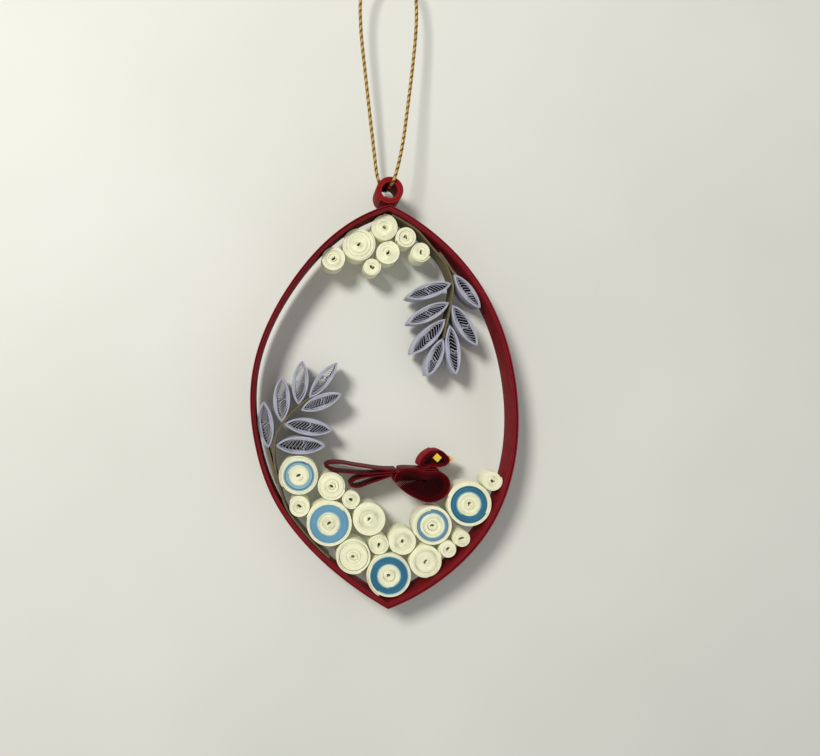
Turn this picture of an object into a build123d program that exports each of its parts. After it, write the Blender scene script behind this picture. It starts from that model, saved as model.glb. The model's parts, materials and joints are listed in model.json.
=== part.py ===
"""Hanging ornament of quilled paper: a red lens-shaped frame with coils, two leafy sprigs and a bird."""

from build123d import *
from math import atan2, cos, degrees, hypot, pi, radians, sin, tan
from typing import NamedTuple
import os

# All sizes are in millimetres. X runs right, Z runs up and the front faces -Y.
# Places are first worked out from the middle of the frame, in its plane, as (x, z).
GLUE = 0.05  # the film of glue between two pieces that meet

# Frame: a laminated red strip standing on edge, bent to a point at its top and bottom.
FRAME_HEIGHT = 109.4
FRAME_WIDTH = 73.0
FRAME_DEPTH = 10.0
FRAME_WALL = 1.25
# The bend of each side, from the top point down, as shares of the half width and half height.
RIGHT_BEND = (
    (0.04, 1.0), (0.256, 0.916), (0.726, 0.592), (0.967, 0.146),
    (0.952, -0.322), (0.8, -0.582), (0.497, -0.816), (0.026, -1.0),
)
LEFT_BEND = (
    (0.04, 1.0), (-0.211, 0.931), (-0.7, 0.611), (-0.985, 0.153),
    (-0.956, -0.203), (-0.833, -0.446), (-0.589, -0.678), (0.026, -1.0),
)

# Hanger ring: a tight red coil with a wide bore, flush with the front of the frame.
RING_DIAMETER = 7.6
RING_BORE = 4.1
RING_DEPTH = 7.5

# Coils: tight rolls of strip, flush with the back of the frame.
STRIP_DEPTH = 7.5
COIL_BORE = 1.0
TOP_COILS = {"left_end": 6.6, "large": 9.3, "apex": 7.4, "right": 5.7, "right_end": 5.6,
             "middle": 6.5, "lowest": 5.0}
BLUE_COILS = {"left": 11.0, "left_large": 12.7, "apex": 12.4, "right_middle": 10.8, "right_large": 12.4}
WHITE_COILS = {"left_inner": 7.8, "left_small": 5.2, "left_wall": 5.9, "centre_left": 9.2,
               "left_low": 9.7, "centre_small": 5.5, "centre_right": 7.6, "right_low": 9.0,
               "right_small": 4.7, "right_wall_small": 4.8, "right_end": 5.5}
MIDDLE_COIL_BEARING = -82.0  # of the middle top coil, seen from the apex coil
RIGHT_COIL_BEARING = -25.0  # of the right top coil, seen from the apex coil

# Stems: olive strips standing on edge, glued to the frame and then running free.
STEM_WALL = 0.5
RIGHT_STEM_GLUED = (1.2, 3.5, 6.0, 9.0)  # along the right side of the frame from its top point
RIGHT_STEM_FREE = ((3.0, -3.2), (5.2, -5.8), (7.8, -9.0), (9.4, -12.6), (10.1, -15.4),
                   (9.8, -18.7), (9.1, -22.8), (8.2, -26.6), (7.6, -29.8))
LEFT_STEM_GLUED = (20.0, 24.5, 29.0, 33.5, 37.5)  # along the left side from its bottom point
LEFT_STEM_FREE = ((-2.3, 7.1), (-3.55, 12.55), (-3.4, 18.85), (-2.6, 21.6), (-1.5, 23.5),
                  (0.95, 26.5), (2.86, 28.3), (5.87, 30.6))
TWIG_GLUED = 3.0  # length of a twig that lies against its stem
TWIG_STEPS = 3
RIGHT_TWIG = (24.5, (4.6, -2.8))  # its start along the stem from the stem's tip, and its leaf's
LEFT_TWIG = (27.0, (-1.7, 1.9))  # root, measured from that leaf's own station
WALL_ROOM = 0.15  # between the frame and the leaf on a twig


class Leaf(NamedTuple):
    """A marquise leaf: its root's distance from the stem's tip, its side (1 left, -1 right of the
    way the stem grows, 0 at the end of a line), bearing, length and width."""

    station: float
    side: int
    bearing: float
    length: float
    width: float


RIGHT_LEAVES = (
    Leaf(15.2, -1, 196.4, 13.6, 4.4), Leaf(10.0, -1, 206.3, 13.5, 4.3), Leaf(5.5, -1, 225.4, 14.2, 4.4),
    Leaf(0.0, 0, 247.1, 11.9, 4.1), Leaf(4.4, 1, 276.5, 14.7, 4.2), Leaf(9.8, 1, 300.9, 14.0, 4.5),
    Leaf(20.0, 0, 307.0, 12.6, 3.7),
)
LEFT_LEAVES = (
    Leaf(18.0, 0, 95.2, 13.5, 4.5), Leaf(10.2, 1, 88.8, 13.0, 4.8), Leaf(3.7, 1, 83.7, 12.8, 4.7),
    Leaf(0.0, 0, 50.9, 13.4, 3.9), Leaf(4.1, -1, 21.0, 12.8, 4.3), Leaf(9.8, -1, -9.1, 14.0, 4.7),
    Leaf(16.4, -1, -1.1, 14.3, 5.0),
)
LEAF_BAND = 0.6  # the tight outer turns, at the leaf's side
LEAF_TIP_BAND = 1.3  # the same turns, pinched together at the leaf's tip
LEAF_TIP_RADIUS = 0.45
LEAF_STRIP = 0.2  # an open inner turn
LEAF_GAP = 0.14  # between two inner turns
LEAF_CORE = 0.3  # half the width of the innermost turn

# Bird: coils pinched to shape. Outlines are measured from the middle of its body.
BODY_OUTLINE = ((-10.5, 1.9), (-9.3, 3.5), (-6.0, 3.95), (-1.1, 3.8), (2.7, 3.4), (4.9, 1.4),
                (5.2, -0.8), (3.8, -3.5), (1.1, -5.0), (-1.6, -5.2), (-4.4, -4.2), (-7.1, -2.7),
                (-9.6, -0.5))
HEAD_OUTLINE = ((-3.8, 4.9), (-3.0, 6.8), (-1.1, 8.5), (1.1, 9.3), (2.7, 9.1), (4.1, 7.9),
                (5.0, 6.4), (4.6, 5.2), (3.3, 4.4), (1.4, 4.2), (-1.2, 4.2), (-3.4, 4.3))
PERCH = (13.4, -10.0, -30.0)  # the body's middle, and the heights between which it settles
BACK_STRIP = 0.45
BACK_SPAN = (-9.0, 1.6)
BODY_SLOT = ((-4.6, 0.9), (-1.0, 2.0), (2.6, 1.2))  # the open middle of the pinched coil
SLOT_WIDTH = 0.5
TAIL_STRIP = 0.45
UPPER_TAIL = ((-10.9, 3.95), (-14.7, 4.0), (-19.2, 4.6), (-23.6, 5.3), (-28.0, 5.75), (-30.5, 4.95),
              (-29.2, 4.05), (-25.0, 3.25), (-20.4, 2.85), (-14.7, 3.15), (-10.9, 3.45))
LOWER_TAIL = ((-11.0, 2.9), (-15.6, 2.3), (-19.8, 1.7), (-21.8, 0.8), (-22.5, -0.25), (-21.4, -0.75),
              (-18.0, 0.0), (-14.7, 1.15), (-11.2, 2.35))
BEAK_LENGTH = 1.8
BEAK_HEIGHT = 1.4
BEAK_DEPTH = 3.0
BEAK_RISE = 6.4
EYE_SIDE = 1.75
EYE_THICKNESS = 0.4
EYE_PLACE = (1.2, 7.0)
EYE_TURN = 3.0  # away from a diamond

# Cord: one twisted cord through the ring, closed by a knot. Points are measured from the
# middle of the ring's bore as (x, y, z), with y from the middle of the frame's depth.
CORD_DIAMETER = 0.95
CORD_ROUTE = (
    (-0.9, 0.0, 65.6), (-5.0, 0.0, 62.8), (-7.7, 0.0, 56.0), (-7.6, 0.2, 46.0), (-6.2, 0.7, 34.0),
    (-4.85, 1.5, 22.5), (-3.5, 2.5, 12.0), (-2.7, 3.2, 5.6), (-0.9, 3.25, 1.1),
    (0.55, -5.75, 1.3),
    (2.0, -5.7, 5.8), (3.6, -4.5, 13.0), (5.0, -2.8, 22.5), (6.6, -1.2, 34.0), (7.9, -0.3, 46.0),
    (7.9, 0.0, 56.0), (5.2, 0.0, 62.9), (0.9, 0.0, 65.6),
)
RING_CORNERS = (8, 9)  # where the cord turns round the ring's back and front edge
KNOT_DIAMETER = 2.8
KNOT_TAIL = 4.0
KNOT_PLACE = (0.0, 0.0, 66.2)
LOOP_TOP = (0.0, 0.0, 64.8)  # where a hook bears, below the knot

BACK = FRAME_DEPTH / 2
FRONT = -FRAME_DEPTH / 2


class Disc(NamedTuple):
    """A round piece, seen from the front."""

    x: float
    z: float
    r: float


def settle(clear, close, is_clear, steps=24):
    """Returns the value nearest to close that is_clear still accepts, found by halving."""
    for _ in range(steps):
        middle = (clear + close) / 2
        if is_clear(middle):
            clear = middle
        else:
            close = middle
    return clear


def stand(sketch, depth, back=BACK):
    """Stands a flat sketch up, from its back plane towards the front."""
    plane = Plane(origin=(0, back, 0), x_dir=(1, 0, 0), z_dir=(0, -1, 0))
    return extrude(plane * sketch, amount=depth)


def grown(sketch, amount):
    """The sketch with its edge moved outwards by an amount, or inwards if that is negative."""
    edges = offset(sketch, amount=amount, kind=Kind.INTERSECTION).edges()
    if len(edges) == 1:
        return make_face([redrawn(edges[0], periodic=True)])
    return make_face([redrawn(edge) for edge in edges])


def redrawn(edge, periodic=False):
    """A plain spline along an offset edge."""
    count = 32
    points = [edge.position_at(step / count) for step in range(count if periodic else count + 1)]
    return Spline(*points, periodic=periodic)


def gap(x, z, shapes):
    return min(shape.distance_to(Vector(x, z)) for shape in shapes)


def gap_between(sketch, others):
    return min(sketch.distance_to(other) for other in others)


def coil_in_corner(radius, left, right, span, height):
    """Pushes a coil into the corner between two walls, from height[0] towards height[1]."""

    def middle(z):
        def nearer_left(x):
            return left.distance_to(Vector(x, z)) < right.distance_to(Vector(x, z))

        return settle(span[0], span[1], nearer_left)

    z = settle(height[0], height[1], lambda z: gap(middle(z), z, [left]) > radius + GLUE)
    return Disc(middle(z), z, radius)


def coil_at_bearing(radius, neighbour, bearing):
    reach = neighbour.r + radius + GLUE
    x = neighbour.x + reach * cos(radians(bearing))
    z = neighbour.z + reach * sin(radians(bearing))
    return Disc(x, z, radius)


def coil_on_wall(radius, neighbour, walls, clear, close):
    """Rolls a coil round its neighbour, from one bearing towards another, until it meets a wall."""

    def is_clear(bearing):
        coil = coil_at_bearing(radius, neighbour, bearing)
        return gap(coil.x, coil.z, walls) > radius + GLUE

    return coil_at_bearing(radius, neighbour, settle(clear, close, is_clear))


def coil_between(radius, first, second):
    """Lays a coil against two others, to the left of the way from first to second."""
    a = first.r + radius + GLUE
    b = second.r + radius + GLUE
    c = hypot(second.x - first.x, second.z - first.z)
    turn = degrees(atan2(second.z - first.z, second.x - first.x))
    opening = degrees(atan2((4 * a * a * c * c - (a * a + c * c - b * b) ** 2) ** 0.5,
                            a * a + c * c - b * b))
    return coil_at_bearing(radius, first, turn + opening)


def wall_point(wall, from_end, distance, offset):
    """The point at a distance along a wall from its top or bottom end, offset to the inside."""
    along = distance if from_end == 0 else wall.length - distance
    place = wall.position_at(along, position_mode=PositionMode.LENGTH)
    way = wall.tangent_at(along, position_mode=PositionMode.LENGTH)
    inward = Vector(-way.Y, way.X)
    if inward.dot(place) > 0:
        inward = inward * -1
    return place + inward * offset


def strip(line, thickness):
    """A strip standing on edge along a line, seen from the front."""
    count = 40
    sides = ([], [])
    for step in range(count + 1):
        place = line.position_at(step / count)
        way = line.tangent_at(step / count)
        across = Vector(-way.Y, way.X) * (thickness / 2)
        sides[0].append(place + across)
        sides[1].append(place - across)
    left, right = Spline(*sides[0]), Spline(*sides[1])
    return make_face([left, Line(sides[0][-1], sides[1][-1]), right, Line(sides[1][0], sides[0][0])])


def lens(length, width):
    """A pointed oval from the origin along +X."""
    upper = ThreePointArc((0, 0), (length / 2, width / 2), (length, 0))
    lower = ThreePointArc((length, 0), (length / 2, -width / 2), (0, 0))
    return make_face([upper, lower])


def leaf_outline(leaf):
    """A leaf's outline with rounded tips, from its root at the origin along +X."""
    outline = lens(leaf.length, leaf.width)
    return fillet(outline.vertices(), LEAF_TIP_RADIUS)


def leaf_sketch(leaf):
    """A loose coil pinched at both ends: a band of tight turns round one open spiral strip."""
    length, width = leaf.length, leaf.width
    hollow = Pos(LEAF_TIP_BAND, 0) * lens(length - 2 * LEAF_TIP_BAND, width - 2 * LEAF_BAND)
    half_length = length / 2 - LEAF_TIP_BAND
    half_width = width / 2 - LEAF_BAND - LEAF_GAP
    pitch = LEAF_STRIP + LEAF_GAP
    turns = int((half_width - LEAF_CORE) / pitch)
    count = 2 * turns + 1
    outer, inner = [], []
    for step in range(count + 1):
        share = step / count
        side = 1 if step % 2 == 0 else -1
        reach = half_length * (1 - share) + 2 * LEAF_CORE * share
        if step == 0:
            reach += LEAF_TIP_BAND / 2
        outer.append((length / 2 + side * reach, 0))
        inner.append((length / 2 + side * (reach - 2 * LEAF_STRIP), 0))
    edges = []
    for step in range(count):
        side = 1 if step % 2 == 0 else -1
        height = half_width - step * pitch / 2
        middle = (outer[step][0] + outer[step + 1][0]) / 2
        edges.append(ThreePointArc(outer[step], (middle, side * height), outer[step + 1]))
        edges.append(ThreePointArc(inner[step], (middle, side * (height - LEAF_STRIP)), inner[step + 1]))
    edges.append(Line(outer[0], inner[0]))
    edges.append(Line(outer[-1], inner[-1]))
    return leaf_outline(leaf) - hollow + make_face(edges)


def leaf_at(leaf, root):
    return Pos(root.X, root.Y) * Rot(0, 0, leaf.bearing)


def bearing_of(leaf):
    return Vector(cos(radians(leaf.bearing)), sin(radians(leaf.bearing)))


def push_leaf(leaf, start, outward, obstacles, room=GLUE):
    """Returns the leaf's root, pushed outward from start until the leaf clears the obstacles."""
    outline = leaf_outline(leaf)

    def is_clear(push):
        return gap_between(leaf_at(leaf, start + outward * push) * outline, obstacles) > room

    return start + outward * settle(6.0, -1.5, is_clear, steps=16)


# Frame
half_width, half_height = FRAME_WIDTH / 2, FRAME_HEIGHT / 2
right_line = Spline(*[(x * half_width, z * half_height) for x, z in RIGHT_BEND])
left_line = Spline(*[(x * half_width, z * half_height) for x, z in LEFT_BEND])
frame_outline = make_face([right_line, left_line])
frame_hollow = grown(frame_outline, -FRAME_WALL)
inner_left, inner_right = sorted(frame_hollow.edges(), key=lambda edge: edge.center().X)
frame_section = frame_outline - frame_hollow
if inner_left.position_at(0).Y < 0:
    inner_left = inner_left.reversed()
if inner_right.position_at(0).Y < 0:
    inner_right = inner_right.reversed()

# Stems and their twigs
stem_offset = 2 * GLUE + STEM_WALL / 2


def stem_line(wall, from_end, glued, free):
    """A stem's middle line: along the wall, then free, measured from where it leaves the wall."""
    on_wall = [wall_point(wall, from_end, distance, stem_offset) for distance in glued]
    return Spline(*on_wall, *[on_wall[-1] + Vector(x, z) for x, z in free])


def along_stem(stem, from_tip):
    """The place and the direction of growth at a distance back from the stem's tip."""
    along = stem.length - from_tip
    place = stem.position_at(along, position_mode=PositionMode.LENGTH)
    return place, stem.tangent_at(along, position_mode=PositionMode.LENGTH)


def twig_line(stem, from_tip, side, root):
    """A twig's middle line: beside its stem for a little, then out to its leaf's root."""
    beside = []
    for step in range(TWIG_STEPS + 1):
        place, way = along_stem(stem, from_tip - TWIG_GLUED * step / TWIG_STEPS)
        beside.append(place + Vector(-way.Y, way.X) * side * (STEM_WALL + GLUE))
    return Spline(*beside, root)


right_stem = stem_line(inner_right, 0, RIGHT_STEM_GLUED, RIGHT_STEM_FREE)
left_stem = stem_line(inner_left, 1, LEFT_STEM_GLUED, LEFT_STEM_FREE)
stems = {"right_stem": strip(right_stem, STEM_WALL), "left_stem": strip(left_stem, STEM_WALL)}

# Top coils, from the apex outwards
top = {name: diameter / 2 for name, diameter in TOP_COILS.items()}
apex = coil_in_corner(top["apex"], inner_left, stems["right_stem"], (-6, 9), (30, half_height - 3))
large = coil_on_wall(top["large"], apex, [inner_left], -120, -190)
left_end = coil_on_wall(top["left_end"], large, [inner_left], -120, -190)
middle = coil_at_bearing(top["middle"], apex, MIDDLE_COIL_BEARING)
right = coil_at_bearing(top["right"], apex, RIGHT_COIL_BEARING)
right_end = coil_on_wall(top["right_end"], right, [stems["right_stem"], inner_right], -90, 0)
lowest = coil_between(top["lowest"], middle, large)
top_discs = [left_end, large, apex, right, right_end, middle, lowest]

# Bottom coils, from the apex up both sides
blue = {name: diameter / 2 for name, diameter in BLUE_COILS.items()}
white = {name: diameter / 2 for name, diameter in WHITE_COILS.items()}
left_walls = [inner_left, stems["left_stem"]]
bottom = coil_in_corner(blue["apex"], inner_left, inner_right, (-9, 9), (-30, 3 - half_height))
left_low = coil_on_wall(white["left_low"], bottom, left_walls, 90, 200)
left_large = coil_on_wall(blue["left_large"], left_low, left_walls, 80, 190)
left_wall = coil_on_wall(white["left_wall"], left_large, left_walls, 80, 190)
left_blue = coil_on_wall(blue["left"], left_wall, left_walls, 45, 170)
left_inner = coil_between(white["left_inner"], left_blue, left_large)
left_small = coil_between(white["left_small"], left_inner, left_large)
centre_left = coil_between(white["centre_left"], left_small, left_large)
centre_small = coil_between(white["centre_small"], left_low, bottom)
centre_right = coil_between(white["centre_right"], centre_small, bottom)
right_low = coil_on_wall(white["right_low"], bottom, [inner_right], 90, -20)
right_middle = coil_between(blue["right_middle"], centre_right, right_low)
right_small = coil_between(white["right_small"], right_middle, right_low)
right_large = coil_on_wall(blue["right_large"], right_middle, [inner_right], 90, -20)
right_wall_small = coil_on_wall(white["right_wall_small"], right_small, [inner_right], 100, -20)
bottom_right_end = coil_on_wall(white["right_end"], right_large, [inner_right], 100, -20)

# Leaves: the tip leaf first, then each side from the tip of the stem to its root
def grow_sprig(leaves, order, stem, stem_section, wall, inward, twig, side):
    """Grows a sprig's leaves in order, and last the leaf on the twig, which leans on the frame."""
    placed, sketches = [stem_section], {}
    for number in order:
        leaf = leaves[number]
        start, way = along_stem(stem, leaf.station)
        outward = way if leaf.side == 0 else Vector(-way.Y, way.X) * leaf.side
        root = push_leaf(leaf, start, outward, placed + [wall])
        if number == order[-1]:
            start = push_leaf(leaf, start + Vector(*twig[1]), inward, [wall], WALL_ROOM)
            root = push_leaf(leaf, start, bearing_of(leaf), placed)
        placed.append(leaf_at(leaf, root) * leaf_outline(leaf))
        sketches[number] = leaf_at(leaf, root) * leaf_sketch(leaf)
    twig_tip = root + bearing_of(leaf) * (leaf_outline(leaf).bounding_box().min.X - GLUE)
    return sketches, strip(twig_line(stem, twig[0], side, twig_tip), STEM_WALL)


right_leaves, stems["right_twig"] = grow_sprig(
    RIGHT_LEAVES, (3, 2, 1, 0, 4, 5, 6), right_stem, stems["right_stem"], inner_right,
    Vector(-1, 0), RIGHT_TWIG, 1)
left_leaves, stems["left_twig"] = grow_sprig(
    LEFT_LEAVES, (3, 2, 1, 4, 5, 6, 0), left_stem, stems["left_stem"], inner_left,
    Vector(1, 0), LEFT_TWIG, 1)

# Bird, drawn from the middle of its body, its pieces pushed together one by one
body_outline = make_face([Spline(*BODY_OUTLINE, periodic=True)])
body_slot = strip(Spline(*BODY_SLOT), SLOT_WIDTH)
span_middle, span_width = sum(BACK_SPAN) / 2, BACK_SPAN[1] - BACK_SPAN[0]
back_window = Pos(span_middle, span_width / 2) * Rectangle(span_width, span_width)
back_outer = grown(body_outline, GLUE + BACK_STRIP)
back_section = (back_outer - grown(body_outline, GLUE)) & back_window
body_and_back = [body_outline, back_section]


def push_to(sketch, direction, others, clear=3.0, close=-3.0):
    """Moves a piece along a direction until only the glue is between it and the others."""

    def is_clear(way):
        return gap_between(Pos(*(direction * way)) * sketch, others) > GLUE

    return Pos(*(direction * settle(clear, close, is_clear)))


head_shift = push_to(make_face([Spline(*HEAD_OUTLINE, periodic=True)]), Vector(0, 1), body_and_back)
head_outline = head_shift * make_face([Spline(*HEAD_OUTLINE, periodic=True)])
upper_tail = strip(Spline(*UPPER_TAIL), TAIL_STRIP)
upper_tail = push_to(upper_tail, Vector(-1, 0), body_and_back) * upper_tail
lower_tail = strip(Spline(*LOWER_TAIL), TAIL_STRIP)
lower_tail = push_to(lower_tail, Vector(-0.5, -1), body_and_back + [upper_tail]) * lower_tail
beak = make_face(Polyline((0, -BEAK_HEIGHT / 2), (BEAK_LENGTH, 0), (0, BEAK_HEIGHT / 2), close=True))
beak = head_shift * Pos(HEAD_OUTLINE[6][0], BEAK_RISE) * beak
beak = push_to(beak, Vector(1, 0), [head_outline]) * beak
eye = head_shift * Pos(*EYE_PLACE) * Rot(0, 0, 45 + EYE_TURN) * Rectangle(EYE_SIDE, EYE_SIDE)

coils = [Pos(disc.x, disc.z) * Circle(disc.r) for disc in (right_middle, right_large, left_inner)]
bird_underside = [Pos(PERCH[0], 0) * body_outline, Pos(PERCH[0], 0) * lower_tail]


def bird_clears(height):
    return min(gap_between(Pos(0, height) * piece, coils) for piece in bird_underside) > GLUE


perch = Pos(PERCH[0], settle(PERCH[1], PERCH[2], bird_clears))

# Ring and cord
ring = Disc(RIGHT_BEND[0][0] * half_width, half_height + RING_DIAMETER / 2 + GLUE, RING_DIAMETER / 2)
ring_middle = Vector(ring.x, 0, ring.z)
route = [ring_middle + Vector(*point) for point in CORD_ROUTE]
radii = []
for number in range(1, len(route) - 1):
    before, after = route[number] - route[number - 1], route[number + 1] - route[number]
    half_turn = radians(before.get_angle(after)) / 2
    radius = 0.45 * min(before.length, after.length) / tan(half_turn)
    radii.append(CORD_DIAMETER if number in RING_CORNERS else radius)
print("cord radii", [round(radius, 1) for radius in radii])
cord_path = FilletPolyline(*route, radius=radii)
cord_section = Plane(origin=route[0], z_dir=route[1] - route[0]) * Circle(CORD_DIAMETER / 2)
cord = sweep(cord_section, path=cord_path)
print("cord length", round(cord_path.length, 1), "volume", round(cord.volume, 2),
      "section times length", round(pi * CORD_DIAMETER**2 / 4 * cord_path.length, 2))
knot_place = ring_middle + Vector(*KNOT_PLACE)
knot = Pos(*knot_place) * Sphere(KNOT_DIAMETER / 2)
for lean in (-22, 14):
    tail = Cylinder(CORD_DIAMETER / 2, KNOT_TAIL, align=(Align.CENTER, Align.CENTER, Align.MIN))
    knot += Pos(*knot_place) * Rot(0, lean, 0) * tail
knot -= cord

# Every piece stands in the frame and hangs from the top of the loop
parts = {
    "frame": stand(frame_section, FRAME_DEPTH),
    "hanger_ring": stand(Pos(ring.x, ring.z) * (Circle(ring.r) - Circle(RING_BORE / 2)), RING_DEPTH,
                         FRONT + RING_DEPTH),
    "cord": cord,
    "cord_knot": knot,
}
bores = {
    "top_coil": top_discs,
    "white_coil": [left_inner, left_small, left_wall, centre_left, left_low, centre_small,
                   centre_right, right_low, right_small, right_wall_small, bottom_right_end],
    "blue_coil": [left_blue, left_large, bottom, right_middle, right_large],
}
for name, discs in bores.items():
    for number, disc in enumerate(discs, start=1):
        coil = Pos(disc.x, disc.z) * (Circle(disc.r) - Circle(COIL_BORE / 2))
        parts[f"{name}_{number}"] = stand(coil, STRIP_DEPTH)
for name, sketch in stems.items():
    parts[name] = stand(sketch, STRIP_DEPTH)
for side, leaves in (("right", right_leaves), ("left", left_leaves)):
    for number, sketch in leaves.items():
        parts[f"{side}_leaf_{number + 1}"] = stand(sketch, STRIP_DEPTH)
for name, sketch in (("bird_body", body_outline - body_slot), ("bird_back", back_section),
                     ("bird_head", head_outline), ("tail_feather_upper", upper_tail),
                     ("tail_feather_lower", lower_tail)):
    parts[name] = stand(perch * sketch, STRIP_DEPTH)
strip_front = BACK - STRIP_DEPTH
parts["bird_beak"] = stand(perch * beak, BEAK_DEPTH, strip_front + (STRIP_DEPTH + BEAK_DEPTH) / 2)
parts["bird_eye"] = stand(perch * eye, EYE_THICKNESS, strip_front - GLUE)

os.makedirs("parts", exist_ok=True)
loop_top = ring_middle + Vector(*LOOP_TOP)
for name, solid in parts.items():
    export_step(Pos(*(loop_top * -1)) * solid, f"parts/{name}.step")
print(len(parts), "pieces; the frame's middle is at", loop_top * -1)
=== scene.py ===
"""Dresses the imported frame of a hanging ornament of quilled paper.

Every coil, leaf and wall is wound again from single strips of paper around the place that its
node holds, the cord is twisted from strands, and the ornament hangs before a pale wall.
"""

from __future__ import annotations

import json
import logging
import math
import random
from dataclasses import dataclass, field
from enum import Enum

import bpy
import numpy as np
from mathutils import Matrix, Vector

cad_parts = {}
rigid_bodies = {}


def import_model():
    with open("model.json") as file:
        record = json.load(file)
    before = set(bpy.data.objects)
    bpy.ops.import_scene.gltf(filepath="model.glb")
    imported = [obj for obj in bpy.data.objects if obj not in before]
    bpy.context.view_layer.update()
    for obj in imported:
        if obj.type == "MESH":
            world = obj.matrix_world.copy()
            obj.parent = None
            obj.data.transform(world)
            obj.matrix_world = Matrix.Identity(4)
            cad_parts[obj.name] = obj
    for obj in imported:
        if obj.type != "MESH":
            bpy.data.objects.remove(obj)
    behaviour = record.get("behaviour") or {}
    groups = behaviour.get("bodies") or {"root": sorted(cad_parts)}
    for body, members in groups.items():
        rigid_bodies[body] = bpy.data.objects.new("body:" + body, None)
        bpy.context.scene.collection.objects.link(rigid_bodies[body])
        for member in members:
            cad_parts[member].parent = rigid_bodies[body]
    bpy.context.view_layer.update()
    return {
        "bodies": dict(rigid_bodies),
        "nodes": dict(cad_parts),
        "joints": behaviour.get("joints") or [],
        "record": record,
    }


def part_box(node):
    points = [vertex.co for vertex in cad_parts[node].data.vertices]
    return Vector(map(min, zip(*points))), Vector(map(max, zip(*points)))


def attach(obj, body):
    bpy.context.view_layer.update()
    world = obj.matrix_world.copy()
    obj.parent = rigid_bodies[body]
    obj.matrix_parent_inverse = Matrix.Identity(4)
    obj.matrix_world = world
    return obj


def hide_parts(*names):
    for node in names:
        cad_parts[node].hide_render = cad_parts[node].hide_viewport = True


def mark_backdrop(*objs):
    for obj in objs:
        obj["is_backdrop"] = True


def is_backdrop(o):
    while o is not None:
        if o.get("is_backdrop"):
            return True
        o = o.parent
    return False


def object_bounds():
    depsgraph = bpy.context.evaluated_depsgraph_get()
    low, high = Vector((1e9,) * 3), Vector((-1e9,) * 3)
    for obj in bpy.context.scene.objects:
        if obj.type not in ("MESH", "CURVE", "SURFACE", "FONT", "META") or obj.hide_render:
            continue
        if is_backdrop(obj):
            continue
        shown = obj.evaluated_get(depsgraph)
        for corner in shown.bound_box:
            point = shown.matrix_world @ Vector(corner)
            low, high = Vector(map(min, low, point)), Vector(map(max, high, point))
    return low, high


log = logging.getLogger("quilled_ornament")

MM = 0.001
BODY = "root"
FRONT = -5.0 * MM  # the front edge of the frame's strip
BACK = 5.0 * MM  # the back edge of every strip
ROLL_FRONT = -2.5 * MM  # the front edge of the narrower strip of coils, leaves and bird
BORE_RADIUS = 0.38  # of a coil's bore, in millimetres
SECTION_CORNERS = 10  # corners of a standing strip's section

Colour = tuple[float, float, float]
Line = list[tuple[float, float, float]]  # x, z, and how far the point stands forward or back


# ---------------------------------------------------------------- selection and objects


def deselect_all() -> None:
    """Clears the selection, so that the next operator acts on its own object alone."""
    for obj in bpy.context.selected_objects:
        obj.select_set(False)


def select_only(*objects: bpy.types.Object) -> None:
    """Selects these objects alone and makes the first one active.

    Args:
        objects: The objects to select.
    """
    deselect_all()
    for obj in objects:
        obj.select_set(True)
    bpy.context.view_layer.objects.active = objects[0]


def join(name: str, pieces: list[bpy.types.Object]) -> bpy.types.Object:
    """Joins pieces into one named object.

    Args:
        name: The name of the joined piece.
        pieces: The pieces to join.

    Returns:
        The joined piece.
    """
    select_only(*pieces)
    if len(pieces) > 1:
        bpy.ops.object.join()
    joined = bpy.context.view_layer.objects.active
    joined.name = name
    return joined


def smooth(obj: bpy.types.Object, degrees: float = 50.0) -> None:
    """Shades a piece smooth across its gentle edges.

    Args:
        obj: The piece.
        degrees: Edges sharper than this stay crisp.
    """
    select_only(obj)
    bpy.ops.object.shade_smooth_by_angle(angle=math.radians(degrees))


def settle(obj: bpy.types.Object, slot: str, material: bpy.types.Material, *nodes: str) -> None:
    """Gives a finished piece its material and its place on the body, and hides the nodes that it
    stands for.

    Args:
        obj: The finished piece, at the origin.
        slot: Not used.
        material: The material it shows.
        nodes: The nodes that it replaces.
    """
    if not obj.data.materials:
        obj.data.materials.append(material)
    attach(obj, BODY)
    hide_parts(*nodes)
    log.info("%s: %d faces", obj.name, len(obj.data.polygons))


# ---------------------------------------------------------------- paper strip


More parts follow.
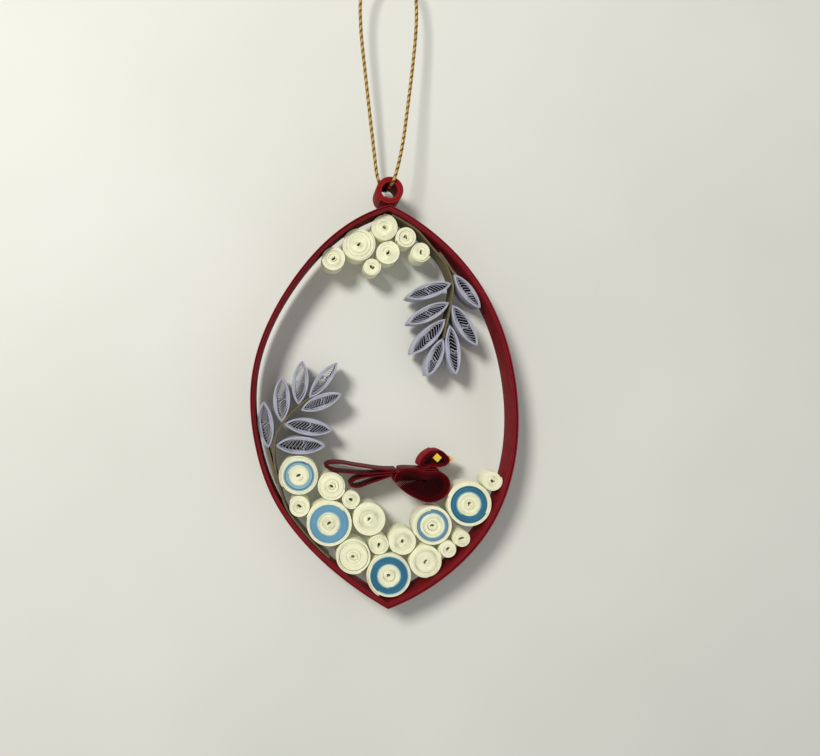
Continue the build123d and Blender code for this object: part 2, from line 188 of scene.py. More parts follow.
@dataclass(frozen=True)
class Strip:
    """Paper strip standing on edge, from its front edge to its back edge."""

    thickness: float
    front: float = ROLL_FRONT
    back: float = BACK

    def stand(self, name: str, lines: list[Line], closed: bool = False) -> bpy.types.Object:
        """Stands strips on edge along lines.

        Args:
            name: The name of the piece.
            lines: The middle lines of the strips.
            closed: Whether each line joins up with its own start.

        Returns:
            One mesh. Its attribute "along" runs from 0 at the start of each line to 1 at its end.
        """
        curve = bpy.data.curves.new(name, "CURVE")
        curve.dimensions = "3D"
        curve.twist_mode = "Z_UP"
        curve.fill_mode = "FULL"
        curve.use_fill_caps = True
        curve.bevel_depth = self.thickness / 2
        curve.bevel_resolution = 1
        curve.extrude = (self.back - self.front - self.thickness) / 2
        middle = (self.front + self.back) / 2
        for line in lines:
            spline = curve.splines.new("POLY")
            spline.points.add(len(line) - 1)
            spline.use_cyclic_u = closed
            for point, (x, z, forward) in zip(spline.points, line):
                point.co = (x, z, forward - middle, 1.0)
        obj = bpy.data.objects.new(name, curve)
        bpy.context.scene.collection.objects.link(obj)
        obj.rotation_euler.x = math.pi / 2
        select_only(obj)
        bpy.ops.object.convert(target="MESH")
        bpy.ops.object.transform_apply(location=False, rotation=True, scale=False)
        self._trim(obj, lines, closed)
        smooth(obj)
        return obj

    def _trim(self, obj: bpy.types.Object, lines: list[Line], closed: bool) -> None:
        """Trims the strips flat at the back and records how far along them each point is.

        Args:
            obj: The strips' mesh.
            lines: The middle lines that it was made from.
            closed: Whether each line joins up with its own start.
        """
        shares = []
        for line in lines:
            if not closed:
                shares += [1.0] * SECTION_CORNERS + [0.0] * SECTION_CORNERS
            for number in range(len(line)):
                shares += [number / (len(line) - 1)] * SECTION_CORNERS
        along = obj.data.attributes.new("along", "FLOAT", "POINT")
        if len(shares) == len(obj.data.vertices):
            along.data.foreach_set("value", shares)
        for vertex in obj.data.vertices:
            vertex.co.y = min(vertex.co.y, self.back)
        obj.data.update()


# ---------------------------------------------------------------- finishes


def add(nodes: bpy.types.Nodes, kind: str, **values: object) -> bpy.types.ShaderNode:
    """Adds a shader node.

    Args:
        nodes: The nodes to add it to.
        kind: Its type, without the prefix that all have.
        values: What its inputs are set to, with underscores for the spaces in their names.

    Returns:
        The node.
    """
    node = nodes.new(f"ShaderNode{kind}")
    for name, value in values.items():
        node.inputs[name.replace("_", " ")].default_value = value
    return node


def new_group(
    name: str, inputs: list[tuple[str, str, object]], outputs: list[tuple[str, str]]
) -> tuple[bpy.types.ShaderNodeTree, bpy.types.Node, bpy.types.Node]:
    """Starts a shader node group.

    Args:
        name: The name of the group.
        inputs: Name, socket type and default of each input.
        outputs: Name and socket type of each output.

    Returns:
        The group with its input node and output node.
    """
    group = bpy.data.node_groups.new(name, "ShaderNodeTree")
    for socket_name, kind, default in inputs:
        socket = group.interface.new_socket(socket_name, in_out="INPUT", socket_type=kind)
        socket.default_value = default
    for socket_name, kind in outputs:
        group.interface.new_socket(socket_name, in_out="OUTPUT", socket_type=kind)
    return group, group.nodes.new("NodeGroupInput"), group.nodes.new("NodeGroupOutput")


def paper_fibre() -> bpy.types.ShaderNodeTree:
    """Builds, once, the group that gives paper its fibres: a mottled colour and a fine tooth.

    Returns:
        The node group. It takes Colour, Mottle and Tooth, and gives Colour, Roughness and Normal.
    """
    found = bpy.data.node_groups.get("paper_fibre")
    if found:
        return found
    group, given, out = new_group(
        "paper_fibre",
        [("Colour", "NodeSocketColor", (0.8, 0.8, 0.8, 1.0)), ("Mottle", "NodeSocketFloat", 0.12),
         ("Tooth", "NodeSocketFloat", 0.25)],
        [("Colour", "NodeSocketColor"), ("Roughness", "NodeSocketFloat"),
         ("Normal", "NodeSocketVector")],
    )
    nodes, links = group.nodes, group.links
    place = nodes.new("ShaderNodeTexCoord")
    cloud = add(nodes, "TexNoise", Scale=420.0, Detail=4.0)
    links.new(place.outputs["Object"], cloud.inputs["Vector"])
    fibre_map = add(nodes, "Mapping", Scale=(1.0, 0.25, 1.0))
    links.new(place.outputs["Object"], fibre_map.inputs["Vector"])
    fibre = add(nodes, "TexNoise", Scale=9000.0, Detail=3.0)
    links.new(fibre_map.outputs["Vector"], fibre.inputs["Vector"])
    spread = add(nodes, "MapRange", From_Min=0.3, From_Max=0.7, To_Min=-1.0, To_Max=1.0)
    links.new(cloud.outputs["Fac"], spread.inputs["Value"])
    amount = nodes.new("ShaderNodeMath")
    amount.operation = "MULTIPLY_ADD"
    amount.inputs[2].default_value = 1.0
    links.new(spread.outputs["Result"], amount.inputs[0])
    links.new(given.outputs["Mottle"], amount.inputs[1])
    tint = nodes.new("ShaderNodeVectorMath")
    tint.operation = "SCALE"
    links.new(given.outputs["Colour"], tint.inputs[0])
    links.new(amount.outputs["Value"], tint.inputs["Scale"])
    links.new(tint.outputs["Vector"], out.inputs["Colour"])
    rough = add(nodes, "MapRange", To_Min=0.62, To_Max=0.86)
    links.new(fibre.outputs["Fac"], rough.inputs["Value"])
    links.new(rough.outputs["Result"], out.inputs["Roughness"])
    bump = add(nodes, "Bump", Distance=0.03 * MM)
    links.new(given.outputs["Tooth"], bump.inputs["Strength"])
    links.new(fibre.outputs["Fac"], bump.inputs["Height"])
    links.new(bump.outputs["Normal"], out.inputs["Normal"])
    return group


@dataclass(frozen=True)
class Paper:
    """A paper's finish. Bands change its colour along a wound strip, from its start to its end."""

    name: str
    colour: Colour
    mottle: float = 0.06
    tooth: float = 0.3
    bands: tuple[tuple[float, Colour], ...] = ()
    specular: float = 0.3
    edge: Colour | None = None  # a painted highlight: the colour of the front-facing cut edges, where it isn't the paper's own
    painted_shade: float = 1.0  # painted shade between inner turns: the share of its colour that a strip's sides keep there
    # the painted shade starts this far along the strip, as a share of its length
    painted_shade_from: float = 0.0

    def material(self) -> bpy.types.Material:
        """Makes the material, or returns the one already made."""
        own_name = f"{self.name}_finish"
        found = bpy.data.materials.get(own_name)
        if found:
            return found
        material = bpy.data.materials.new(own_name)
        material.use_nodes = True
        nodes, links = material.node_tree.nodes, material.node_tree.links
        shader = nodes["Principled BSDF"]
        shader.inputs["Specular IOR Level"].default_value = self.specular
        fibre = nodes.new("ShaderNodeGroup")
        fibre.node_tree = paper_fibre()
        fibre.inputs["Colour"].default_value = (*self.colour, 1.0)
        fibre.inputs["Mottle"].default_value = self.mottle
        fibre.inputs["Tooth"].default_value = self.tooth
        colour = self._banding(nodes, links) if self.bands else None
        # The paper may get a painted highlight on its front cut edges and painted shade on the
        # sides of its inner turns.
        if self.edge or self.painted_shade < 1:
            colour = self._paint_light_and_shade(nodes, links, colour)
        if colour:
            links.new(colour, fibre.inputs["Colour"])
        links.new(fibre.outputs["Colour"], shader.inputs["Base Color"])
        links.new(fibre.outputs["Roughness"], shader.inputs["Roughness"])
        links.new(fibre.outputs["Normal"], shader.inputs["Normal"])
        return material

    def _banding(
        self, nodes: bpy.types.Nodes, links: bpy.types.NodeLinks
    ) -> bpy.types.NodeSocket:
        """Adds the colour bands along the wound strip.

        Args:
            nodes: The material's nodes.
            links: The material's links.

        Returns:
            The bands' colour output.
        """
        along = nodes.new("ShaderNodeAttribute")
        along.attribute_name = "along"
        ramp = nodes.new("ShaderNodeValToRGB")
        ramp.color_ramp.interpolation = "CONSTANT"
        stops = ramp.color_ramp.elements
        stops[0].position, stops[0].color = 0.0, (*self.colour, 1.0)
        stops.remove(stops[1])
        for position, colour in self.bands:
            stop = stops.new(position)
            stop.color = (*colour, 1.0)
        links.new(along.outputs["Fac"], ramp.inputs["Fac"])
        return ramp.outputs["Color"]

    def _paint_light_and_shade(self, nodes: bpy.types.Nodes, links: bpy.types.NodeLinks,
                face: bpy.types.NodeSocket | None) -> bpy.types.NodeSocket:
        """Paints light and shade: a painted highlight on the strip's front-facing cut edges, and
        painted shade on its sides between the inner turns.

        Args:
            nodes: The material's nodes.
            links: The material's links.
            face: The face's colour, if it has bands.

        Returns:
            The colour output.
        """
        along = nodes.new("ShaderNodeAttribute")
        along.attribute_name = "along"
        # Painted shade: the strip's sides on its inner turns are darkened.
        inner = nodes.new("ShaderNodeMath")
        inner.operation = "GREATER_THAN"
        inner.inputs[1].default_value = self.painted_shade_from
        links.new(along.outputs["Fac"], inner.inputs[0])
        painted_shade_mix = nodes.new("ShaderNodeMix")
        painted_shade_mix.data_type = "RGBA"
        painted_shade_mix.blend_type = "MULTIPLY"
        painted_shade_mix.inputs["A"].default_value = (*self.colour, 1.0)
        painted_shade_mix.inputs["B"].default_value = (self.painted_shade, self.painted_shade, self.painted_shade, 1.0)
        links.new(inner.outputs["Value"], painted_shade_mix.inputs["Factor"])
        # Faces that look forward escape the painted shade and take the edge colour, a painted
        # highlight.
        place = nodes.new("ShaderNodeTexCoord")
        split = nodes.new("ShaderNodeSeparateXYZ")
        links.new(place.outputs["Normal"], split.inputs["Vector"])
        facing = add(nodes, "MapRange", From_Min=-0.55, From_Max=-0.9)
        links.new(split.outputs["Y"], facing.inputs["Value"])
        painted_light_mix = nodes.new("ShaderNodeMix")
        painted_light_mix.data_type = "RGBA"
        painted_light_mix.inputs["B"].default_value = (*(self.edge or self.colour), 1.0)
        links.new(facing.outputs["Result"], painted_light_mix.inputs["Factor"])
        links.new(painted_shade_mix.outputs["Result"], painted_light_mix.inputs["A"])
        if face:
            links.new(face, painted_shade_mix.inputs["A"])
            if not self.edge:
                links.new(face, painted_light_mix.inputs["B"])
        return painted_light_mix.outputs["Result"]


IVORY = (0.87, 0.865, 0.635)
CRIMSON = (0.165, 0.0025, 0.0055)
SCARLET = (0.22, 0.004, 0.006)
MAROON = (0.10, 0.001, 0.004)
LAVENDER = (0.43, 0.435, 0.51)
OLIVE = (0.135, 0.105, 0.052)
"""The papers' own colours."""


# ---------------------------------------------------------------- reading the frame


@dataclass(frozen=True)
class Outline:
    """A node's outer or inner wall, as its distance from a focus in every direction."""

    focus: tuple[float, float]
    angles: np.ndarray
    distances: np.ndarray

    @classmethod
    def of_node(
        cls, node: bpy.types.Object, focus: tuple[float, float], outer: bool = True
    ) -> Outline:
        """Reads a wall from a node's mesh.

        Args:
            node: The node's object.
            focus: A point inside the wall, as x and z.
            outer: Whether to read the outer wall and not the inner one.

        Returns:
            The outline.
        """
        points = set()
        for face in node.data.polygons:
            if abs(face.normal.y) > 0.3:
                continue
            away = face.center.x - focus[0], face.center.z - focus[1]
            faces_out = face.normal.x * away[0] + face.normal.z * away[1] > 0
            if faces_out == outer:
                for index in face.vertices:
                    co = node.data.vertices[index].co
                    points.add((round(co.x, 7), round(co.z, 7)))
        offsets = [(x - focus[0], z - focus[1]) for x, z in points]
        around = np.array([(math.atan2(z, x), math.hypot(x, z)) for x, z in offsets])
        around = around[np.argsort(around[:, 0])]
        if outer:
            around = cls._outermost(around)
        return cls(focus, around[:, 0], around[:, 1])

    @staticmethod
    def _outermost(around: np.ndarray) -> np.ndarray:
        """Drops the points of holes that lie inside the outer wall.

        Args:
            around: The angle and distance of each point, by angle.

        Returns:
            The points that lie near the farthest one in their direction.
        """
        kept = []
        for angle, distance in around:
            apart = np.abs((around[:, 0] - angle + math.pi) % (2 * math.pi) - math.pi)
            if distance > 0.8 * around[apart < 0.25, 1].max():
                kept.append((angle, distance))
        return np.array(kept)

    def at(self, angle: float) -> float:
        """Returns the wall's distance from the focus in one direction, in radians."""
        wrapped = (angle + math.pi) % (2 * math.pi) - math.pi
        return float(np.interp(wrapped, self.angles, self.distances, period=2 * math.pi))


def middle_of(node: str) -> tuple[float, float]:
    """Returns the x and z of the middle of a node's box."""
    low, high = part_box(node)
    return (low.x + high.x) / 2, (low.z + high.z) / 2


# ---------------------------------------------------------------- the frame and its ring


@dataclass
class LensFrame:
    """The frame: strips of crimson paper laminated round a lens, whose finish paints a highlight on
    their front cut edges.
    """

    node: bpy.types.Object
    finish: Paper
    plies: int = 4
    samples: int = 420
    stagger: float = 0.5 * MM
    set_back: tuple[float, ...] = (0.15, 1.0, 0.0, 0.75)  # of each ply, as shares of the stagger
    waves: int = 5  # that make a ply's edge uneven
    sway_share: float = 0.5  # of the stagger
    ply_fill: float = 0.97  # how much of its share of the wall a ply fills

    def build(self) -> None:
        """Winds the plies one inside the other, each a little forward or back of its neighbour."""
        focus = middle_of("frame")
        outer = Outline.of_node(self.node, focus)
        inner = Outline.of_node(self.node, focus, outer=False)
        even = [-math.pi + 2 * math.pi * step / self.samples for step in range(self.samples)]
        turn = sorted(even + self._corner_ways(outer))
        chance = random.Random(7)
        wall = outer.at(0.0) - inner.at(0.0)
        lines = []
        for ply in range(self.plies):
            share = (ply + 0.5) / self.plies
            waves = [(chance.uniform(2, 9), chance.uniform(0, 6.3), chance.uniform(0.2, 1.0))
                     for _ in range(self.waves)]
            base = -self.set_back[ply % len(self.set_back)] * self.stagger
            line = []
            for angle in turn:
                reach = outer.at(angle) * (1 - share) + inner.at(angle) * share
                sway = sum(size * math.sin(round(count) * angle + phase)
                           for count, phase, size in waves) / self.waves
                forward = min(0.0, base + sway * self.stagger * self.sway_share)
                line.append((focus[0] + reach * math.cos(angle),
                             focus[1] + reach * math.sin(angle), forward))
            lines.append(line)
        strip = Strip(wall / self.plies * self.ply_fill, FRONT, BACK)
        obj = strip.stand("lens_frame", lines, closed=True)
        settle(obj, "red_paper", self.finish.material(), "frame")

    def _corner_ways(self, outer: Outline) -> list[float]:
        """Returns the directions of the frame's top and bottom points."""
        heights = outer.distances * np.sin(outer.angles)
        return [float(outer.angles[np.argmax(heights)]), float(outer.angles[np.argmin(heights)])]


@dataclass(frozen=True)
class Coil:
    """A tight coil of strip, wound from its bore outwards, with its core pushed in."""

    node: str
    paper: Paper
    slot: str
    bore: float = BORE_RADIUS * MM
    thickness: float = 0.3 * MM
    front: float = ROLL_FRONT
    seed: int = 1
    uneven: float = 0.22 * MM
    looseness: float = 0.14
    core_share: float = 0.36
    core_step: float = 0.2 * MM
    eye_rise: float = 1.6  # how far the innermost turns stand out again, in core steps
    squeeze: float = 0.28
    squeezed_turns: float = 1.2  # over which the squeeze of the bore fades
    steps: int = 44
    loose_tail: float = 0.0
    tail_steps: int = 8
    tail_turn: float = 0.09  # that each step of the loose tail covers, in radians

    def build(self) -> bpy.types.Object:
        """Winds the coil.

        Returns:
            The coil.
        """
        low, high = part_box(self.node)
        centre = middle_of(self.node)
        radius = (high.x - low.x) / 2
        chance = random.Random(self.seed)
        inner = self.bore + self.thickness / 2
        outer = radius - self.thickness * 0.4
        turns = max(2.0, round((outer - inner) / self.thickness))
        heights = [-chance.random() ** 2 * self.uneven for _ in range(int(turns) + 3)]
        slack = [chance.random() ** 3 for _ in range(int(turns) + 3)]
        total = sum(slack[:int(turns)]) or 1.0
        spread = [sum(slack[:turn]) / total for turn in range(int(turns) + 3)]
        start, lean = chance.uniform(0, 2 * math.pi), chance.uniform(0, math.pi)
        count = int(turns * self.steps)
        line = []
        for step in range(count + 1):
            share = step / count
            turn = share * turns
            angle = start + turn * 2 * math.pi
            low_turn, part = int(turn), turn - int(turn)
            loose = spread[low_turn] * (1 - part) + spread[low_turn + 1] * part
            wound = share * (1 - self.looseness) + min(loose, 1.0) * self.looseness
            reach = inner + (outer - inner) * wound
            pinch = self.squeeze * math.exp(-turn / self.squeezed_turns)
            reach *= 1 + pinch * math.cos(2 * (angle - lean))
            height = heights[low_turn] * (1 - part) + heights[low_turn + 1] * part
            if share < self.core_share:
                height -= self.core_step * min(1.0, (self.core_share - share) * turns)
            eye_share = self.core_share * 0.5
            if share < eye_share:
                height += self.core_step * self.eye_rise * min(1.0, (eye_share - share) * turns)
            line.append((centre[0] + reach * math.cos(angle),
                         centre[1] + reach * math.sin(angle), min(height, 0.0)))
        if self.loose_tail:
            line += self._tail(centre, outer, angle)
        strip = Strip(self.thickness * (1 - self.looseness * 0.6), self.front, BACK)
        obj = strip.stand(f"wound_{self.node}", [line])
        settle(obj, self.slot, self.paper.material(), self.node)
        return obj

    def _tail(self, centre: tuple[float, float], outer: float, angle: float) -> Line:
        """Lets the outer end of the strip spring away from the coil.

        Args:
            centre: The coil's middle, as x and z.
            outer: The radius at which the strip leaves the coil.
            angle: The direction in which it leaves.

        Returns:
            The points of the loose end.
        """
        tail = []
        for step in range(1, self.tail_steps + 1):
            way = angle + step * self.tail_turn
            reach = outer + self.loose_tail * (step / self.tail_steps) ** 1.5
            tail.append((centre[0] + reach * math.cos(way),
                         centre[1] + reach * math.sin(way), 0.0))
        return tail


# ---------------------------------------------------------------- leaves


@dataclass(frozen=True)
class Leaf:
    """A loose coil pinched at both ends: tight outer plies round a fan of open turns."""

    node: bpy.types.Object
    stem: bpy.types.Object
    seed: int
    paper: Paper
    slant: float  # the way that its open turns cross it, in degrees up from +X
    band: int = 3
    open_turns: int = 6
    curl: int = 2  # small turns at the very end of the strip
    thickness: float = 0.16 * MM
    tip_pitch: float = 0.28 * MM
    band_pitch: float = 0.145 * MM
    open_pitch: float = 0.088 * MM  # where the open turns are squeezed together along the sides
    core: float = 0.5 * MM
    sink: float = 0.15 * MM  # how far the open turns stand back from the band
    dwell: float = 0.35  # how closely points gather at the tips
    band_belly: float = 1.6
    open_belly: float = 0.8
    corner: float = 0.35  # the lower, the squarer an open turn's corners
    easing: float = 1.25  # added to the corner where the first open turn leaves the band
    curl_corner: float = 0.65
    curl_width: float = 0.62  # how much narrower the curl is than the turn before it
    curl_length: float = 0.35
    steps: int = 56

    def build(self) -> bpy.types.Object:
        """Winds the leaf inside the lens that its node holds.

        Returns:
            The leaf.
        """
        root, along, across, length, width = self._measure()
        chance = random.Random(self.seed)
        reach, side = (length - self.thickness) / 2, (width - self.thickness) / 2
        eye = chance.uniform(-0.02, 0.16) * reach
        lean = chance.uniform(0.7, 1.1) * self._lean_side(along)
        line = []
        for step in range((self.band + self.open_turns + self.curl) * self.steps + 1):
            turn = step / self.steps
            u, v = self._station(turn, reach, side, lean)
            opened = min(max(0.0, turn - self.band) / self.open_turns, 1.0)
            point = root + along * (length / 2 + u + eye * opened) + across * v
            line.append((point.x, point.y, -self.sink * min(1.0, opened * 3)))
        strip = Strip(self.thickness, ROLL_FRONT, BACK)
        obj = strip.stand(f"wound_{self.node.name}", [line])
        settle(obj, "lavender_paper", self.paper.material(), self.node.name)
        return obj

    def _station(self, turn: float, reach: float, side: float, lean: float) -> tuple[float, float]:
        """Places a point of the strip, counted in turns from its outer end.

        The open turns lie tight along the leaf's sides and cross it aslant at their own ends.

        Args:
            turn: How many turns in from the outer end.
            reach: Half the leaf's length.
            side: Half its width.
            lean: How far a crossing slants along the leaf for its height.

        Returns:
            The point's place along and across the leaf, from its middle.
        """
        around = math.pi + turn * 2 * math.pi
        phase = around - self.dwell * math.sin(2 * around)
        cosine, sine = math.cos(phase), math.sin(phase)
        tight = min(turn, self.band)
        if turn <= self.band:
            reach, side = reach - tight * self.tip_pitch, side - tight * self.band_pitch
            return reach * cosine, side * math.copysign(abs(sine) ** self.band_belly, sine)
        inner_reach = reach - self.band * self.tip_pitch
        inner_side = side - self.band * self.band_pitch
        opened = min(turn - self.band, self.open_turns)
        curled = (turn - self.band - opened) / self.curl
        share = opened / self.open_turns
        x = (inner_reach + (self.core - inner_reach) * share) * cosine
        belly = (1 - (x / inner_reach) ** 2) ** self.open_belly
        room = inner_side * belly - opened * self.open_pitch
        corner = self.corner + self.easing * max(0.0, 1 - 3 * opened) + self.curl_corner * curled
        v = max(room, 0.0) * (1 - self.curl_width * curled)
        v *= math.copysign(abs(sine) ** corner, sine)
        x *= 1 - self.curl_length * curled
        return x + lean * v * abs(cosine) ** 3 * min(1.0, opened), v

    def _lean_side(self, along: Vector) -> int:
        """Chooses the side that makes the crossings run nearest to the leaf's slant.

        Args:
            along: The leaf's direction from its root.

        Returns:
            The side, 1 or -1.
        """
        bearing = math.degrees(math.atan2(along.y, along.x))
        misses = [abs((bearing + 45 * side - self.slant + 90) % 180 - 90) for side in (1, -1)]
        return 1 if misses[0] < misses[1] else -1

    def _measure(self) -> tuple[Vector, Vector, Vector, float, float]:
        """Measures the node.

        Returns:
            The leaf's root, its directions along and across, its length and its width.
        """
        points = np.array([(v.co.x, v.co.z) for v in self.node.data.vertices])
        centre = (points.max(0) + points.min(0)) / 2
        spread = points - points.mean(0)
        _, _, axes = np.linalg.svd(spread, full_matrices=False)
        along = axes[0]
        stem = np.array([(v.co.x, v.co.z) for v in self.stem.data.vertices])
        first, last = (centre + along * sign * np.ptp(spread @ along) / 2 for sign in (-1, 1))
        near = [np.min(np.hypot(*(stem - end).T)) for end in (first, last)]
        if near[1] < near[0]:
            along = -along
        across = np.array([-along[1], along[0]])
        lengthwise, crosswise = points @ along, points @ across
        root = along * lengthwise.min() + across * (crosswise.max() + crosswise.min()) / 2
        length, width = float(np.ptp(lengthwise)), float(np.ptp(crosswise))
        return Vector(root), Vector(along), Vector(across), length, width


# ---------------------------------------------------------------- bird


@dataclass(frozen=True)
class PinchedCoil:
    """A coil pinched to shape, whose turns are smaller and smaller copies of its outline."""

    node: bpy.types.Object
    focus: tuple[float, float]
    seed: int
    paper: Paper
    slot: str
    turns: int = 12
    band: int = 4
    least: float = 0.1
    thickness: float = 0.24 * MM
    band_spacing: float = 1.12  # between two turns of the band, in thicknesses
    band_spread: float = 0.6  # how much more room the band takes where the outline is far
    uneven: float = 0.12 * MM
    steps: int = 72
    sink: float = 0.0

    def build(self) -> bpy.types.Object:
        """Winds the coil inside its node's outline.

        Returns:
            The coil.
        """
        outline = Outline.of_node(self.node, self.focus)
        chance = random.Random(self.seed)
        heights = [-chance.random() * self.uneven for _ in range(self.turns + 2)]
        nearest = outline.distances.min()
        line = []
        for step in range(self.turns * self.steps + 1):
            turn = step / self.steps
            angle = turn * 2 * math.pi + math.pi / 2
            wall = outline.at(angle)
            tight = min(turn, self.band) * self.thickness * self.band_spacing
            share = 1 - (1 - self.least) * max(0.0, turn - self.band) / (self.turns - self.band)
            taken = tight * (wall / nearest) ** self.band_spread
            reach = (wall - self.thickness / 2 - taken) * share
            part = turn - int(turn)
            height = heights[int(turn)] * (1 - part) + heights[int(turn) + 1] * part
            height -= self.sink * (1 - share)
            line.append((self.focus[0] + reach * math.cos(angle),
                         self.focus[1] + reach * math.sin(angle), height))
        strip = Strip(self.thickness, ROLL_FRONT, BACK)
        obj = strip.stand(f"wound_{self.node.name}", [line])
        settle(obj, self.slot, self.paper.material(), self.node.name)
        return obj


# ---------------------------------------------------------------- cord


@dataclass
class TwistedCord:
    """A thin cord of metallic and dark strands, doubled through the ring and closed by a knot."""

    diameter: float = 0.95 * MM
    lay: float = 1.8 * MM
    strands: int = 3
    strand_swell: float = 1.15  # how far the strands press into one another
    knot_swell: float = 1.05
    knot_size: tuple[float, float, float] = (0.92, 0.55, 0.8)  # half its extent, in millimetres
    knot_steps: int = 96
    knot_height: float = 66.2 * MM  # above the middle of the ring's bore
    tail_steps: int = 8
    tail_height: float = 3.7  # in millimetres
    # The sideways slope and bend of the knot's two tails.
    tail_ways: tuple[tuple[float, float], ...] = ((0.36, -0.16), (-0.22, 0.12))
    ring_middle: Vector = field(default_factory=lambda: Vector((0.0, 0.0, -64.8 * MM)))
    # The route's points in millimetres from the middle of the ring's bore.
    route: tuple[tuple[float, float, float], ...] = (
        (-0.9, 0.0, 65.6), (-5.0, 0.0, 62.8), (-7.7, 0.0, 56.0), (-7.6, 0.2, 46.0),
        (-6.2, 0.7, 34.0), (-4.85, 1.5, 22.5), (-3.5, 2.5, 12.0), (-2.7, 3.2, 5.6),
        (-0.9, 3.25, 1.1), (0.55, -5.75, 1.3), (2.0, -5.7, 5.8), (3.6, -4.5, 13.0),
        (5.0, -2.8, 22.5), (6.6, -1.2, 34.0), (7.9, -0.3, 46.0), (7.9, 0.0, 56.0),
        (5.2, 0.0, 62.9), (0.9, 0.0, 65.6),
    )

    def centre_line(self) -> list[Vector]:
        """Draws the cord's middle line as a smooth spline along its route.

        Returns:
            Points of the middle line.
        """
        curve = bpy.data.curves.new("cord_route", "CURVE")
        curve.dimensions = "3D"
        spline = curve.splines.new("NURBS")
        spline.points.add(len(self.route) - 1)
        for point, place in zip(spline.points, self.route):
            point.co = (*(self.ring_middle + Vector(place) * MM), 1.0)
        spline.order_u = 3
        spline.use_endpoint_u = True
        spline.resolution_u = 24
        obj = bpy.data.objects.new("cord_route", curve)
        mesh = bpy.data.meshes.new_from_object(obj)
        points = [vertex.co.copy() for vertex in mesh.vertices]
        bpy.data.objects.remove(obj)
        bpy.data.meshes.remove(mesh)
        return points

    def evenly(self, points: list[Vector], spacing: float) -> list[Vector]:
        """Returns points of a line at an even spacing along it.

        Args:
            points: The line's own points.
            spacing: The distance between the new points.

        Returns:
            The new points.
        """
        array = np.array(points)
        steps = np.linalg.norm(np.diff(array, axis=0), axis=1)
        along = np.concatenate(([0.0], np.cumsum(steps)))
        wanted = np.linspace(0.0, along[-1], int(along[-1] / spacing) + 1)
        return [Vector([float(np.interp(place, along, array[:, axis])) for axis in range(3)])
                for place in wanted]

    def strand_radius(self) -> float:
        """Returns the radius of one strand, where three fill the cord."""
        return self.diameter / (2 + 4 / math.sqrt(3))

    def build(self) -> None:
        path = self.evenly(self.centre_line(), self.lay / 9)
        radius = self.strand_radius()
        offset = self.diameter / 2 - radius
        metal, dark = gold_thread(), dark_thread()
        strands = []
        for strand in range(self.strands):
            line = helix(path, offset, self.lay, 2 * math.pi * strand / self.strands)
            piece = tube(f"strand_{strand}", line, radius * self.strand_swell)
            piece.data.materials.append(dark if strand == 0 else metal)
            strands.append(piece)
        cord = join("twisted_cord", strands)
        smooth(cord, 80)
        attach(cord, BODY)
        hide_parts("cord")
        knot = self.knot(metal, dark)

    def knot(self, metal: bpy.types.Material, dark: bpy.types.Material) -> bpy.types.Object:
        """Ties the two ends in an overhand knot with two short tails.

        Args:
            metal: The material of the metallic strands.
            dark: The material of the dark strand.

        Returns:
            The knot.
        """
        centre = self.ring_middle + Vector((0.0, 0.0, self.knot_height))
        wide, deep, high = self.knot_size
        loop = []
        for step in range(self.knot_steps + 1):
            t = 2 * math.pi * step / self.knot_steps
            x = (math.sin(t) + 2 * math.sin(2 * t)) / 3
            z = (math.cos(t) - 2 * math.cos(2 * t)) / 3
            y = -math.sin(3 * t)
            loop.append(centre + Vector((x * wide, y * deep, z * high)) * MM)
        radius = self.strand_radius()
        offset = self.diameter / 2 - radius
        pieces = []
        tails = []
        for slope, bend in self.tail_ways:
            tail = []
            for step in range(self.tail_steps + 1):
                share = step / self.tail_steps
                aside = slope * share * 4.0 + bend * math.sin(step / 2.6)
                tail.append(centre + Vector((aside, 0.0, self.tail_height * share)) * MM)
            tails.append(tail)
        for line in [loop, *tails]:
            even = self.evenly(line, self.lay / 9)
            for strand in range(self.strands):
                twist = helix(even, offset, self.lay, 2 * math.pi * strand / self.strands)
                piece = tube(f"knot_strand_{strand}", twist, radius * self.knot_swell)
                piece.data.materials.append(dark if strand == 0 else metal)
                pieces.append(piece)
        knot = join("overhand_knot", pieces)
        smooth(knot, 80)
        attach(knot, BODY)
        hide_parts("cord_knot")
        return knot


def helix(path: list[Vector], offset: float, lay: float, phase: float) -> list[Vector]:
    """Winds a strand round a path.

    Args:
        path: The path's points, evenly spaced.
        offset: The strand's distance from the path.
        lay: The length of one turn.
        phase: Where round the path the strand starts, in radians.

    Returns:
        The strand's points.
    """
    side = Vector((0.0, 1.0, 0.0))
    points, gone = [], 0.0
    for number, place in enumerate(path):
        before, after = path[max(number - 1, 0)], path[min(number + 1, len(path) - 1)]
        way = (after - before).normalized()
        side = (side - way * side.dot(way)).normalized()
        up = way.cross(side)
        turn = phase + 2 * math.pi * gone / lay
        points.append(place + side * offset * math.cos(turn) + up * offset * math.sin(turn))
        if number + 1 < len(path):
            gone += (path[number + 1] - place).length
    return points


def tube(name: str, points: list[Vector], radius: float) -> bpy.types.Object:
    """Makes a round mesh tube along points.

    Args:
        name: The name of the piece.
        points: The points that the tube follows.
        radius: The tube's radius.

    Returns:
        The tube.
    """
    curve = bpy.data.curves.new(name, "CURVE")
    curve.dimensions = "3D"
    curve.bevel_depth = radius
    curve.bevel_resolution = 1
    curve.use_fill_caps = True
    spline = curve.splines.new("POLY")
    spline.points.add(len(points) - 1)
    for point, place in zip(spline.points, points):
        point.co = (*place, 1.0)
    obj = bpy.data.objects.new(name, curve)
    bpy.context.scene.collection.objects.link(obj)
    select_only(obj)
    bpy.ops.object.convert(target="MESH")
    return obj


